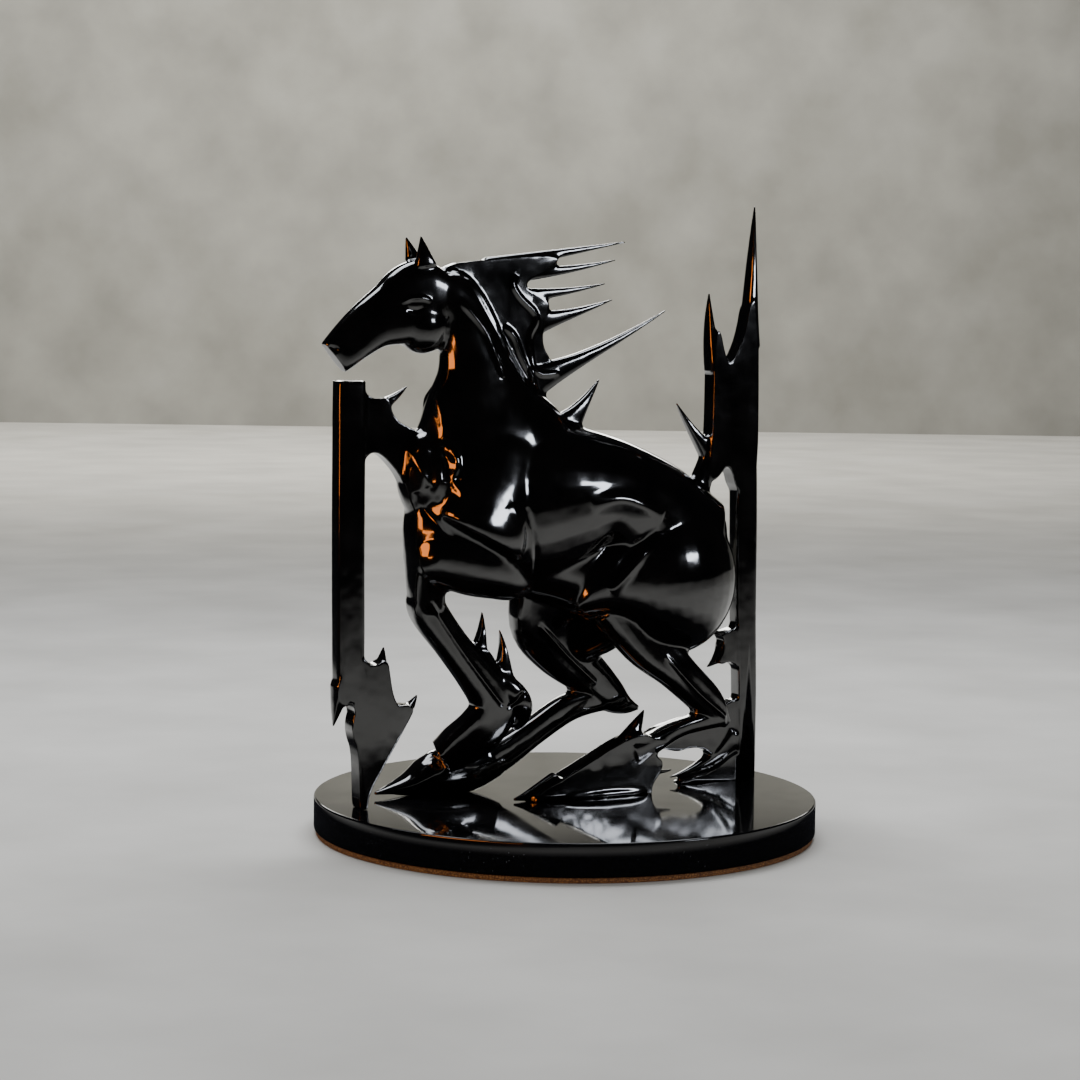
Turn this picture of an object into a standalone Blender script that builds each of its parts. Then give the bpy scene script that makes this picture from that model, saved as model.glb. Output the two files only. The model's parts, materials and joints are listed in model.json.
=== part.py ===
"""Horse sculpture: a cast horse between two thorned posts on a round base.

The horse faces -X and its near side faces -Y. The origin is the middle of the underside, +Z is up, and
sizes are in metres. The figure is a free form: its places and thicknesses are read in units of one 412th
of its own height, which are millimetres at the real size. Every mass is lofted along a smooth path or
drawn as a flat outline, and the masses are then fused into one casting, as wax is before the mould.
"""

import math

import bmesh
import bpy
from mathutils import Matrix, Vector

# Driving sizes of the base.
BASE_DIAMETER = 0.350
BASE_THICKNESS = 0.0225
BASE_EDGE_ROUND = 0.0012
PAD_THICKNESS = 0.0035
PAD_INSET = 0.0015
FIT_GAP = 0.0003

# Driving size of the figure, and the unit that its pose is drawn in.
FIGURE_HEIGHT = 0.412
UNIT = FIGURE_HEIGHT / 412

# Where the figure's middle plane stands on the base, towards the far side.
FIGURE_OFFSET = 0.006
BASE_TOP = PAD_THICKNESS + FIT_GAP + BASE_THICKNESS
FIGURE_FOOT = BASE_TOP + FIT_GAP

# How finely the masses are fused, in units, and how many faces the casting keeps.
CASTING_GRAIN = 1.2
CASTING_FACES = 8350
SMOOTHING_PASSES = 4
SECTION_SIDES = 20
STEPS_PER_STATION = 5

# Every mass is made too fat by the swell, in units, and the swell is taken off once all are fused. That
# leaves a fillet in every hollow. A mass ends in a round of these turns.
SWELL = 1.5
END_TURNS = (math.radians(45), math.radians(90))
CORNER_CUTS = 2

# Half the thickness of the posts and of the mane, in units.
POST_HALF = 7.0
MANE_HALF = 4.0

NEAR_LEG = -21
FAR_LEG = 30
FORELEG = 5


def start_clean():
    """Removes whatever the scene holds."""
    for item in list(bpy.data.objects):
        bpy.data.objects.remove(item, do_unlink=True)


def new_collection(name):
    """Adds a collection under the scene."""
    collection = bpy.data.collections.new(name)
    bpy.context.scene.collection.children.link(collection)
    return collection


def principled(name, colour, roughness, metallic=0.0):
    """Makes a plain Principled material."""
    material = bpy.data.materials.new(name)
    material.use_nodes = True
    shader = material.node_tree.nodes["Principled BSDF"]
    shader.inputs["Base Color"].default_value = (*colour, 1.0)
    shader.inputs["Roughness"].default_value = roughness
    shader.inputs["Metallic"].default_value = metallic
    return material


def between(before, start, end, after, share):
    """Reads a Catmull-Rom curve between two values, given their neighbours."""
    pull_in = (end - before) / 2
    pull_out = (after - start) / 2
    square = share * share
    cube = square * share
    return (
        start * (2 * cube - 3 * square + 1)
        + pull_in * (cube - 2 * square + share)
        + end * (3 * square - 2 * cube)
        + pull_out * (cube - square)
    )


def smooth_stations(stations):
    """Fills a smooth run of stations between those given."""
    run = []
    last = len(stations) - 1
    for index in range(last):
        around = [stations[max(0, min(last, index + shift))] for shift in (-1, 0, 1, 2)]
        for step in range(STEPS_PER_STATION):
            share = step / STEPS_PER_STATION
            run.append([between(*values, share) for values in zip(*around)])
    run.append(list(stations[-1]))
    return run


def swollen_rings(stations):
    """Lists each ring's place, heading, half sizes and swell, with rounded ends."""
    run = smooth_stations(stations)
    places = [Vector((x, y, z)) for x, z, y, _, _ in run]
    rings = []
    for index, (_, _, _, depth, width) in enumerate(run):
        ahead = places[min(index + 1, len(places) - 1)]
        behind = places[max(index - 1, 0)]
        rings.append((places[index], (ahead - behind).normalized(), depth, width, SWELL))
    ends = []
    for end, way in ((rings[0], -1), (rings[-1], 1)):
        place, along, depth, width, _ = end
        ends.append([
            (place + along * way * SWELL * math.sin(turn), along, depth, width, SWELL * math.cos(turn))
            for turn in END_TURNS
        ])
    return [*reversed(ends[0]), *rings, *ends[1]]


def loft(bm, stations, squareness=2.0):
    """Lofts a closed mass. A station is x, z, y, half depth in the pose's plane and half width across it."""
    rings = []
    for place, along, depth, width, swell in swollen_rings(stations):
        across = Vector((0, 1, 0))
        across = (across - along * across.dot(along)).normalized()
        up = across.cross(along)
        ring = []
        for side in range(SECTION_SIDES):
            angle = 2 * math.pi * side / SECTION_SIDES
            c = math.cos(angle)
            s = math.sin(angle)
            reach = (abs(c) ** squareness + abs(s) ** squareness) ** (-1 / squareness)
            spot = place + up * (c * reach * (depth + swell))
            spot = spot + across * (s * reach * (width + swell))
            ring.append(bm.verts.new(spot * UNIT))
        rings.append(ring)
    edges = []
    for ring in rings:
        for side in range(SECTION_SIDES):
            edges.append(bm.edges.new((ring[side], ring[(side + 1) % SECTION_SIDES])))
    for first in range(len(rings) - 1):
        lower = edges[first * SECTION_SIDES:(first + 1) * SECTION_SIDES]
        upper = edges[(first + 1) * SECTION_SIDES:(first + 2) * SECTION_SIDES]
        bmesh.ops.bridge_loops(bm, edges=lower + upper)
    bm.faces.new(rings[0])
    bm.faces.new(reversed(rings[-1]))


def egg(bm, centre, reach, lean=0.0):
    """Adds an egg-shaped muscle, leaning by an angle in the pose's plane."""
    frame = Matrix.Translation(Vector(centre) * UNIT) @ Matrix.Rotation(-math.radians(lean), 4, "Y")
    stretch = Matrix.Diagonal((*((size + SWELL) * UNIT for size in reach), 1.0))
    bmesh.ops.create_uvsphere(bm, u_segments=24, v_segments=16, radius=1.0, matrix=frame @ stretch)


def swollen_outline(corners):
    """Rounds an outline by cutting its corners and moves it outwards by the swell."""
    points = [Vector(corner) for corner in corners]
    for _ in range(CORNER_CUTS):
        cut = []
        for here, there in zip(points, points[1:] + points[:1]):
            cut += [here.lerp(there, 0.25), here.lerp(there, 0.75)]
        points = cut
    pairs = list(zip(points, points[1:] + points[:1]))
    area = sum(here.x * there.y - there.x * here.y for here, there in pairs)
    turn = 1 if area > 0 else -1
    sides = [Vector((there.y - here.y, here.x - there.x)).normalized() * turn for here, there in pairs]
    moved = []
    for index, point in enumerate(points):
        middle = (sides[index - 1] + sides[index]).normalized()
        moved.append(point + middle * (SWELL / max(0.5, middle.dot(sides[index]))))
    return moved


def plate(bm, corners, y, half):
    """Adds a flat plate with flowing edges from an outline of x and z places."""
    outline = swollen_outline(corners)
    thick = half + SWELL
    near = [bm.verts.new(Vector((point.x, y - thick, point.y)) * UNIT) for point in outline]
    face = bm.faces.new(near)
    made = bmesh.ops.extrude_face_region(bm, geom=[face])
    for item in made["geom"]:
        if isinstance(item, bmesh.types.BMVert):
            item.co.y += 2 * thick * UNIT


def thorn(bm, root, tip, half, y=0.0, bend=0.0, thickness=7.0, flare=0.35):
    """Adds a flat thorn that narrows from a flared root to a point, bowed by a share of its length."""
    along = Vector((tip[0] - root[0], tip[1] - root[1]))
    side = Vector((-along.y, along.x))
    stations = []
    for share in (0.0, 0.15, 0.35, 0.6, 0.85, 1.0):
        left = 1 - share
        bow = bend * 4 * share * left
        spot = Vector(root) + along * share + side * bow
        depth = half * ((1 - flare) * left + flare * left ** 4) + 0.6
        width = (thickness - 0.7) * (1 - share ** 2.2) + 0.7
        stations.append((spot.x, spot.y, y, depth, width))
    loft(bm, stations, 3.4)


def horse_head(bm):
    """The head: skull, the long wedge of the nose, the cheek and two pricked ears."""
    loft(bm, [
        (-92, 347, 0, 12, 10.5),
        (-101, 347, 0, 20, 12.2),
        (-113, 345.5, 0, 24.5, 12.5),
        (-128.5, 335.5, 0, 23, 12),
        (-145.5, 327.5, 0, 17.8, 10),
        (-159, 317.6, 0, 15.2, 8.6),
        (-169.5, 308.5, 0, 13.4, 7.8),
        (-174.5, 304.3, 0, 12.4, 6.5),
    ], 3.4)
    egg(bm, (-110, 0, 327), (19, 13.5, 20.5))
    egg(bm, (-103, 0, 356), (11, 9, 11))
    thorn(bm, (-112, 366), (-115.6, 385.5), 7.2, y=-9, thickness=3.4, flare=0.0)
    thorn(bm, (-112, 367), (-118.4, 385), 6.2, y=9, thickness=3.4, flare=0.0)


def horse_neck(bm):
    """The neck, deepening from the throat to the chest and the withers."""
    loft(bm, [
        (-98, 352, 0, 14, 11.5),
        (-89, 345, 0, 18, 12.8),
        (-79, 329, 0, 20, 14),
        (-71, 302, 0, 26, 17),
        (-67, 276, 0, 41, 21.5),
        (-61, 248, 0, 61, 26.5),
        (-57, 215, 0, 62, 29),
        (-57, 186, 0, 52, 29),
    ], 2.3)


def horse_mane(bm):
    """The mane: a plate that stands on the crest and runs out in thorns blown to the rear."""
    half = MANE_HALF
    plate(bm, [
        (-103, 366), (-60, 371.5), (-8, 375.5), (-12, 366), (-38, 354.5), (-24, 347),
        (-14, 341), (-20, 331), (-21, 312), (-13, 302), (-17, 288), (-18, 275), (-8, 262),
        (-45, 262),
        (-62, 310), (-80, 340),
    ], 0, half)
    thorn(bm, (-62, 366.5), (44.5, 384.5), 5.6, thickness=half, flare=0.0)
    thorn(bm, (-34, 361.5), (37, 372), 5, thickness=half, bend=-0.02, flare=0.1)
    thorn(bm, (-38, 346.5), (29, 355.5), 5.2, thickness=half, bend=-0.02, flare=0.1)
    thorn(bm, (-36, 326), (35, 344.5), 13, thickness=half, bend=-0.02, flare=0.5)
    thorn(bm, (-28, 287.5), (77.5, 337), 13, thickness=half + 1, bend=-0.02, flare=0.6)
    thorn(bm, (-1.5, 255), (25.5, 289), 14, thickness=half + 1, bend=-0.02, flare=0.5)


def horse_trunk(bm):
    """The trunk from the breast over the barrel to the rump, and the slimmer belly."""
    loft(bm, [
        (-114, 207, 0, 30, 10),
        (-107.5, 206, 0, 43, 19),
        (-92, 202, 0, 51, 26),
        (-70, 200, 0, 56, 30),
        (-40, 201, 0, 60, 34),
        (-5, 207.5, 0, 55, 36),
        (30, 208.5, 0, 41, 35),
        (62, 190, 0, 45.5, 34),
        (93, 161, 0, 51, 32),
        (112, 151.5, 0, 43.5, 27),
        (124.5, 150, 0, 32, 19),
        (130.5, 150, 0, 18, 8),
    ], 2.1)
    loft(bm, [
        (-60, 172, 0, 26, 18),
        (-35, 166, 0, 24, 22),
        (0, 160, 0, 27, 23),
        (35, 150, 0, 30, 24),
        (60, 145, 0, 30, 22),
    ], 2.4)
    egg(bm, (-112, 0, 226), (14.2, 19, 30))


def shoulder(bm, side):
    """One shoulder, its lower edge proud of the breast, and the breast muscle below it."""
    loft(bm, [
        (-44, 264, 8 * side, 16, 11),
        (-51, 243, 12 * side, 28, 16),
        (-60, 222, 15.5 * side, 33, 18),
        (-68, 202, 18.5 * side, 34, 19),
        (-74, 188, 20.5 * side, 34, 19.5),
        (-76, 184, 20.5 * side, 33, 18),
    ], 2.3)
    loft(bm, [
        (-110, 186, 4 * side, 14, 9),
        (-99, 179, 7 * side, 27, 17),
        (-76, 167, 9 * side, 25, 19),
        (-54, 158, 9 * side, 20, 17),
        (-40, 152, 8 * side, 16, 13),
        (-33, 146.5, 6 * side, 10.5, 8),
    ], 2.4)
    egg(bm, (-113, 9 * side, 240), (8, 9, 13))
    egg(bm, (-103, 15 * side, 222), (10, 9, 18))


def haunch(bm, side):
    """One haunch: the round of the quarter and the thigh that runs forward to the stifle."""
    egg(bm, (79.2, 13 * side, 150), (50, 29, 55), lean=8)
    loft(bm, [
        (84, 150, 12 * side, 46, 27),
        (54, 150, 13 * side, 40, 24),
        (32, 147.5, 14 * side, 29, 19),
        (17, 141.5, 14 * side, 19, 15),
        (8, 134.5, 14 * side, 10.5, 11),
        (4, 130, 14 * side, 5, 7),
    ], 2.2)


def near_hind_leg(bm):
    """The near hind leg: gaskin, pointed hock, cannon and the long wedge of its hoof."""
    y = NEAR_LEG
    loft(bm, [
        (40.5, 134.5, y + 8, 26, 12),
        (58.5, 105.5, y + 4, 19.3, 10.5),
        (79.6, 84.6, y + 1, 13.8, 10),
        (101.5, 64.5, y, 12, 9),
        (112, 52, y, 9.5, 8),
        (120, 45, y, 4, 6),
    ], 3.4)
    loft(bm, [
        (116, 49.5, y, 6.6, 8),
        (98, 47, y, 6.2, 8),
        (80, 42.8, y, 5.8, 8),
        (62, 35, y, 7.2, 8.5),
        (44, 28.5, y, 10.5, 9),
    ], 3.4)
    loft(bm, [
        (-14, 8.5, y, 10, 8),
        (-28, 5, y, 6, 6),
        (-40, 2.6, y, 2.4, 3.2),
        (-47, 1.5, y, 0.8, 1),
    ], 3.6)
    plate(bm, [
        (50, 43), (33, 38.5), (4, 23.5), (-14, 14.5), (-30, 7.5), (-36, 0), (-30, -4), (57, -4),
        (57, 6), (64, 14), (66, 22), (60, 26), (58, 31), (68, 33), (70, 37), (60, 38),
    ], y, 8.5)
    thorn(bm, (40, 33), (54, 58), 9, y=y, thickness=6.5, flare=0.2)
    thorn(bm, (54, 16), (77, 14), 4, y=y, thickness=5, bend=-0.06)
    loft(bm, [(-10, 0, y, 5, 9), (20, 0, y, 6, 10), (50, 0, y, 6, 9), (58, 0, y, 3, 6)], 3.0)


def far_hind_leg(bm):
    """The far hind leg, reaching forward under the belly to its hoof."""
    y = FAR_LEG
    loft(bm, [
        (14, 176, 12, 22, 12),
        (6, 160, 16, 27, 14),
        (2, 142, 20, 30, 14),
        (-3, 118, 24, 25, 12),
        (11, 97, y - 2, 19.5, 10),
        (34, 79, y, 16, 9),
        (53, 62, y, 12.5, 8.5),
        (65, 54.5, y, 7.5, 7),
        (76, 51.5, y, 2, 4),
    ], 3.4)
    loft(bm, [
        (48, 138, 10, 30, 16),
        (33, 120, 17, 30, 12),
        (22, 109.5, y - 8, 24, 10),
        (14, 105, y - 5, 15, 7),
    ], 2.2)
    loft(bm, [
        (62, 57, y, 6.5, 7.5),
        (44, 59, y, 8.5, 8),
        (20, 54.5, y, 9.6, 8),
        (-6, 40, y, 9.6, 8),
        (-28, 27, y, 11, 9),
        (-46, 19, y, 13, 10),
    ], 3.6)
    loft(bm, [
        (-36, 20, y, 11, 9),
        (-58, 16, y, 16, 13),
        (-82, 14.5, y, 16, 14),
        (-102, 8, y, 8.5, 12),
        (-118, 5, y, 3.5, 6),
        (-129, 3, y, 1, 1.2),
    ], 2.6)


def foreleg(bm):
    """The foreleg: upper arm, knee, a cannon with two thorns, fetlock, tuft and pastern."""
    y = FORELEG
    loft(bm, [
        (-98, 214, 2, 18, 15),
        (-101.5, 190, 1, 18, 19),
        (-103, 166, 1, 15.5, 17),
        (-104, 147, 3, 12.8, 12.5),
        (-101.2, 131, y, 12, 9.5),
    ], 2.8)
    loft(bm, [
        (-103, 156, y - 2, 6, 6),
        (-103.8, 143, y - 1, 11.6, 9.5),
        (-101.2, 131, y, 12.5, 9.5),
        (-83, 107, y, 11.5, 9),
        (-66, 87, y, 13, 9),
        (-54, 71, y, 15, 9),
        (-52, 59, y, 16, 9),
        (-62, 46, y + 1, 16, 9.5),
        (-76, 35, y + 5, 14.5, 11),
        (-86, 28, y + 9, 10.5, 13),
    ], 4.0)
    thorn(bm, (-64, 98), (-60.5, 129), 8, y=y, thickness=6, bend=-0.04, flare=0.5)
    thorn(bm, (-45, 82), (-47, 116), 9.5, y=y, thickness=6, bend=-0.06, flare=0.5)
    plate(bm, [
        (-68, 104), (-62, 104), (-57.5, 103), (-52, 95), (-50, 88), (-45, 85.5), (-39, 86.5),
        (-31, 73), (-42, 60), (-60, 80),
    ], y, 6.5)
    loft(bm, [
        (-52, 84, y - 1, 5, 6),
        (-41.5, 76, y - 1, 8.5, 8.5),
        (-32.5, 65, y - 1, 9.2, 9.5),
        (-31.5, 55, y - 1, 7, 8),
        (-37, 48, y - 1, 4, 6),
    ], 2.6)


def front_post(bm):
    """The post before the horse, with its leaf-shaped foot and the bridge to the chest."""
    half = POST_HALF
    loft(bm, [
        (-163, 289.4, 0, 7.5, half - 1.6),
        (-163, 287.2, 0, 9.3, half - 0.5),
        (-163, 281, 0, 10, half),
        (-163, 180, 0, 10, half),
        (-162.5, 120, 0, 10, half),
        (-162.3, 88, 0, 9.5, half),
        (-161, 78, 0, 8, half - 1.5),
    ], 6.0)
    plate(bm, [
        (-172, 92), (-173, 74), (-166.5, 70), (-162, 75), (-160.5, 72), (-160, 66), (-162, 59),
        (-161.5, 50), (-157.5, 40), (-156.5, 18), (-156, -2), (-150, -2), (-149.5, 10), (-135, 34),
        (-120.5, 58), (-116, 66), (-120, 70), (-128, 68.5), (-132, 77), (-134, 89), (-136, 102),
        (-147, 96), (-154, 104),
    ], 0, half)
    plate(bm, [
        (-156, 285), (-150, 278), (-145, 277), (-137, 278), (-135, 273), (-133, 266), (-127, 260),
        (-112, 254), (-112, 212), (-123, 215), (-130, 229), (-146, 244), (-156, 234),
    ], 0, half - 1.5)
    thorn(bm, (-168, 84), (-173, 57), 5.8, thickness=half, flare=0.0)
    thorn(bm, (-139.5, 88), (-136.5, 109), 6.5, thickness=half)
    thorn(bm, (-127, 60), (-111.5, 75), 8, thickness=half, bend=-0.08)
    thorn(bm, (-144, 271), (-121, 285), 6.5, thickness=half - 1.5, bend=-0.05)


def rear_post(bm):
    """The post behind the horse, forked into tall thorns and joined to the croup."""
    half = POST_HALF
    loft(bm, [
        (148, -2, 0, 7.5, half),
        (148, 60, 0, 7.5, half),
        (146, 120, 0, 8, half),
        (145, 180, 0, 8.5, half),
        (144, 225, 0, 8.5, half),
    ], 6.0)
    plate(bm, [
        (152.5, 210), (151.5, 300), (149.5, 345), (143.5, 345), (139, 320), (132, 304), (127, 299),
        (123, 308), (119, 325), (114.5, 320), (114.5, 252), (113, 236), (113, 216), (120, 219),
        (128.5, 231), (136.5, 205),
    ], 0, half)
    thorn(bm, (146.5, 312), (149.3, 411.5), 7, bend=0.005, flare=0.25)
    thorn(bm, (118.5, 296), (113, 349.5), 6, bend=0.03, flare=0.15)
    thorn(bm, (114, 238), (88, 272), 7, thickness=half - 2, bend=0.03)
    loft(bm, [
        (119, 242, 0, 7, half - 1),
        (113, 227, 0, 7, half - 1),
        (105, 206, 0, 9, half),
    ], 2.6)
    plate(bm, [
        (144, 112), (124, 107), (128, 102), (128, 95), (123, 87), (126, 84), (132, 87), (138, 83),
        (144, 80),
    ], 0, half - 1)
    thorn(bm, (131, 96), (117, 82.5), 6, bend=0.08, thickness=half - 1)
    plate(bm, [
        (144, 62), (124, 52), (92, 46), (70, 40), (66, 34), (74, 28), (90, 23), (99, 25),
        (108, 25.5), (117, 22), (122, 17), (144, 17),
    ], 0, half - 2)
    thorn(bm, (140, 31), (88, 4.5), 10, bend=0.08, thickness=half - 1, flare=0.45)
    plate(bm, [
        (153.5, -2), (153.5, 24), (138, 20), (122, 8), (94, 1.5), (94, -2),
    ], 0, half - 1)


def fuse_casting(bm, name):
    """Fuses the masses into one closed body, takes the swell off, softens it and cuts its feet level."""
    bmesh.ops.recalc_face_normals(bm, faces=bm.faces)
    mesh = bpy.data.meshes.new(name)
    bm.to_mesh(mesh)
    bm.free()
    casting = bpy.data.objects.new(name, mesh)
    bpy.context.scene.collection.objects.link(casting)
    remesh = casting.modifiers.new("fuse", "REMESH")
    remesh.mode = "VOXEL"
    remesh.voxel_size = CASTING_GRAIN * UNIT
    unswell = casting.modifiers.new("unswell", "DISPLACE")
    unswell.mid_level = 0.0
    unswell.strength = -SWELL * UNIT
    soften = casting.modifiers.new("soften", "SMOOTH")
    soften.factor = 0.5
    soften.iterations = SMOOTHING_PASSES
    fused = evaluated_copy(casting)
    solid = bmesh.new()
    solid.from_mesh(fused)
    keep_largest(solid)
    level_feet(solid)
    solid.to_mesh(fused)
    faces = len(fused.polygons) * 2
    solid.free()
    bpy.data.objects.remove(casting, do_unlink=True)
    body = bpy.data.objects.new(name, fused)
    bpy.context.scene.collection.objects.link(body)
    thin = body.modifiers.new("thin", "DECIMATE")
    thin.ratio = min(1.0, CASTING_FACES / faces)
    result = evaluated_copy(body)
    bpy.data.objects.remove(body, do_unlink=True)
    return result


def evaluated_copy(item):
    """Returns a new mesh with the object's modifiers applied."""
    bpy.context.view_layer.update()
    graph = bpy.context.evaluated_depsgraph_get()
    return bpy.data.meshes.new_from_object(item.evaluated_get(graph))


def keep_largest(solid):
    """Deletes all but the largest shell."""
    solid.verts.ensure_lookup_table()
    seen = set()
    shells = []
    for vert in solid.verts:
        if vert in seen:
            continue
        shell = [vert]
        seen.add(vert)
        for current in shell:
            for edge in current.link_edges:
                other = edge.other_vert(current)
                if other not in seen:
                    seen.add(other)
                    shell.append(other)
        shells.append(shell)
    shells.sort(key=len)
    spare = [vert for shell in shells[:-1] for vert in shell]
    bmesh.ops.delete(solid, geom=spare, context="VERTS")


def level_feet(solid):
    """Cuts the casting flat where it stands on the base."""
    cut = bmesh.ops.bisect_plane(
        solid,
        geom=solid.verts[:] + solid.edges[:] + solid.faces[:],
        dist=1e-6,
        plane_co=(0, 0, 0),
        plane_no=(0, 0, 1),
        clear_inner=True,
    )
    edges = [item for item in cut["geom_cut"] if isinstance(item, bmesh.types.BMEdge)]
    bmesh.ops.holes_fill(solid, edges=edges, sides=0)
    bmesh.ops.triangulate(solid, faces=[face for face in solid.faces if len(face.verts) > 4])


def make_figure(collection, material):
    """Builds the horse and its posts as one casting."""
    bm = bmesh.new()
    horse_head(bm)
    horse_neck(bm)
    horse_mane(bm)
    horse_trunk(bm)
    for side in (-1, 1):
        shoulder(bm, side)
        haunch(bm, side)
    near_hind_leg(bm)
    far_hind_leg(bm)
    foreleg(bm)
    front_post(bm)
    rear_post(bm)
    mesh = fuse_casting(bm, "horse_figure")
    mesh.materials.clear()
    mesh.materials.append(material)
    mesh.shade_smooth()
    figure = bpy.data.objects.new("horse_figure", mesh)
    figure.location = (0, FIGURE_OFFSET, FIGURE_FOOT)
    collection.objects.link(figure)
    return figure


def make_disc(collection, name, diameter, thickness, floor, edge_round, material):
    """Makes a round plate with softened rims."""
    bpy.ops.mesh.primitive_cylinder_add(
        vertices=96,
        radius=diameter / 2,
        depth=thickness,
        location=(0, 0, floor + thickness / 2),
    )
    disc = bpy.context.object
    disc.name = name
    disc.data.name = name
    disc.data.materials.append(material)
    for other in list(disc.users_collection):
        other.objects.unlink(disc)
    collection.objects.link(disc)
    if edge_round > 0:
        bevel = disc.modifiers.new("rim", "BEVEL")
        bevel.width = edge_round
        bevel.segments = 2
        bevel.limit_method = "ANGLE"
        bevel.angle_limit = math.radians(60)
    disc.data.shade_smooth()
    disc.data.set_sharp_from_angle(angle=math.radians(35))
    return disc


def main():
    """Builds the sculpture."""
    start_clean()
    parts = new_collection("horse_sculpture")
    bronze = principled("black_bronze", (0.008, 0.008, 0.009), 0.12, 0.0)
    stone = principled("black_stone", (0.010, 0.010, 0.011), 0.10, 0.0)
    cork = principled("brown_cork", (0.25, 0.12, 0.05), 0.85)
    make_disc(parts, "base_pad", BASE_DIAMETER - 2 * PAD_INSET, PAD_THICKNESS, 0.0, 0.0, cork)
    base_floor = PAD_THICKNESS + FIT_GAP
    make_disc(parts, "base_disc", BASE_DIAMETER, BASE_THICKNESS, base_floor, BASE_EDGE_ROUND, stone)
    make_figure(parts, bronze)


main()
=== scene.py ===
"""Horse sculpture: the looks of a polished black cast horse between two thorned posts on a round base.

The horse faces -X and its near side faces -Y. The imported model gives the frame. The casting is modelled
here again at a finer grain, with its carving, and stands in the place of its plain node. Places on the
figure are in pose units, which are millimetres at the real size, measured from the middle of its feet.
"""

import json
import logging
import math
from dataclasses import dataclass, field
from enum import Enum
from typing import Any

import bmesh
import bpy
import numpy as np
from mathutils import Matrix, Vector
from mathutils.bvhtree import BVHTree

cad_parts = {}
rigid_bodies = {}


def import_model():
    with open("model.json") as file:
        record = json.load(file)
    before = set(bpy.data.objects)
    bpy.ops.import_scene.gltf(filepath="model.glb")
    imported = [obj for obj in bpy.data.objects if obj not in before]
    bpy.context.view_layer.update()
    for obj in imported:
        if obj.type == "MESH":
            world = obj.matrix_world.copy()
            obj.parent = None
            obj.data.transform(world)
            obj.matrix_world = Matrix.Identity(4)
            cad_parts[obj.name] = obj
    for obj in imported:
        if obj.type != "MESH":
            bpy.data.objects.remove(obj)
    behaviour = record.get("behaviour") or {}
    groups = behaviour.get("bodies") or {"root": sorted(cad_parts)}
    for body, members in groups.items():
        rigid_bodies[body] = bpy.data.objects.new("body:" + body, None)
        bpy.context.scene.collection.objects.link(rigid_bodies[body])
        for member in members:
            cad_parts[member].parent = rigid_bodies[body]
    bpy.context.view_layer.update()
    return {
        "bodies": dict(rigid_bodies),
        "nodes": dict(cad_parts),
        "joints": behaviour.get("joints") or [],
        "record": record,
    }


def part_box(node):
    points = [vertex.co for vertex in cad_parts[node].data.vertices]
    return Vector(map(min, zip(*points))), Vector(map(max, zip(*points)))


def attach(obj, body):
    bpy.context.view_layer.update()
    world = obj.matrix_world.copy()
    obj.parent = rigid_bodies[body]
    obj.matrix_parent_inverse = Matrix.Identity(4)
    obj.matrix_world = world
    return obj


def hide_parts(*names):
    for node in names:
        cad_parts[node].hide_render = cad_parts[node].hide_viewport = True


LOG = logging.getLogger("horse_sculpture")

Station = tuple[float, float, float, float, float]
Place = tuple[float, float]

UNIT = 0.001
PHOTO_SIDE_PX = 1080


class Touch(Enum):
    """How a mass takes the smoothing of the wax."""

    SOFT = "flesh that is smoothed until it flows"
    CRISP = "plates, thorns and arrises that keep their edges"


class Side(Enum):
    """The side of the horse that a paired muscle is on, as the sign of its y."""

    NEAR = -1
    FAR = 1


def linear(hex_colour: str) -> tuple[float, float, float, float]:
    """Turns an sRGB hex colour to linear.

    Args:
        hex_colour: The colour as six hex digits after a hash.

    Returns:
        The linear red, green, blue and an alpha of one.
    """
    parts = [int(hex_colour[start:start + 2], 16) / 255 for start in (1, 3, 5)]
    red, green, blue = (
        part / 12.92 if part <= 0.04045 else ((part + 0.055) / 1.055) ** 2.4 for part in parts
    )
    return (red, green, blue, 1.0)


def add_node(
    tree: bpy.types.NodeTree,
    kind: str,
    settings: dict[str, Any] | None = None,
    inputs: dict[str | int, Any] | None = None,
) -> bpy.types.Node:
    """Adds a node with its settings and links.

    Args:
        tree: The node tree that takes the node.
        kind: Blender's name of the node's type.
        settings: The node's own properties.
        inputs: A value or another node's output for each named or numbered socket.

    Returns:
        The node.
    """
    node = tree.nodes.new(kind)
    for name, value in (settings or {}).items():
        setattr(node, name, value)
    for name, value in (inputs or {}).items():
        if isinstance(value, bpy.types.NodeSocket):
            tree.links.new(value, node.inputs[name])
        else:
            node.inputs[name].default_value = value
    return node


def bare_material(name: str) -> tuple[bpy.types.Material, bpy.types.NodeSocket]:
    """Makes a material with nothing in its node tree but Object coordinates.

    Args:
        name: The material's name.

    Returns:
        The material, and the socket of the coordinates.
    """
    material = bpy.data.materials.new(name)
    material.use_nodes = True
    material.node_tree.nodes.clear()
    return material, add_node(material.node_tree, "ShaderNodeTexCoord").outputs["Object"]


def mesh_of(bm: bmesh.types.BMesh, name: str) -> bpy.types.Mesh:
    """Turns a bmesh, which is used up, to a mesh.

    Args:
        bm: The bmesh.
        name: The mesh's name.

    Returns:
        The mesh.
    """
    mesh = bpy.data.meshes.new(name)
    bm.to_mesh(mesh)
    bm.free()
    return mesh


def placed(name: str, data: bpy.types.ID) -> bpy.types.Object:
    """Puts data into the scene.

    Args:
        name: The object's name.
        data: Its mesh, light or camera.

    Returns:
        The object.
    """
    item = bpy.data.objects.new(name, data)
    bpy.context.scene.collection.objects.link(item)
    return item


def set_ramp(ramp: bpy.types.Node, stops: list[tuple[float, str]]) -> None:
    """Gives a colour ramp its stops.

    Args:
        ramp: The colour ramp node.
        stops: Each stop's place and its hex colour.
    """
    elements = ramp.color_ramp.elements
    while len(elements) < len(stops):
        elements.new(1.0)
    for element, (place, colour) in zip(elements, stops):
        element.position = place
        element.color = linear(colour)


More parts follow.
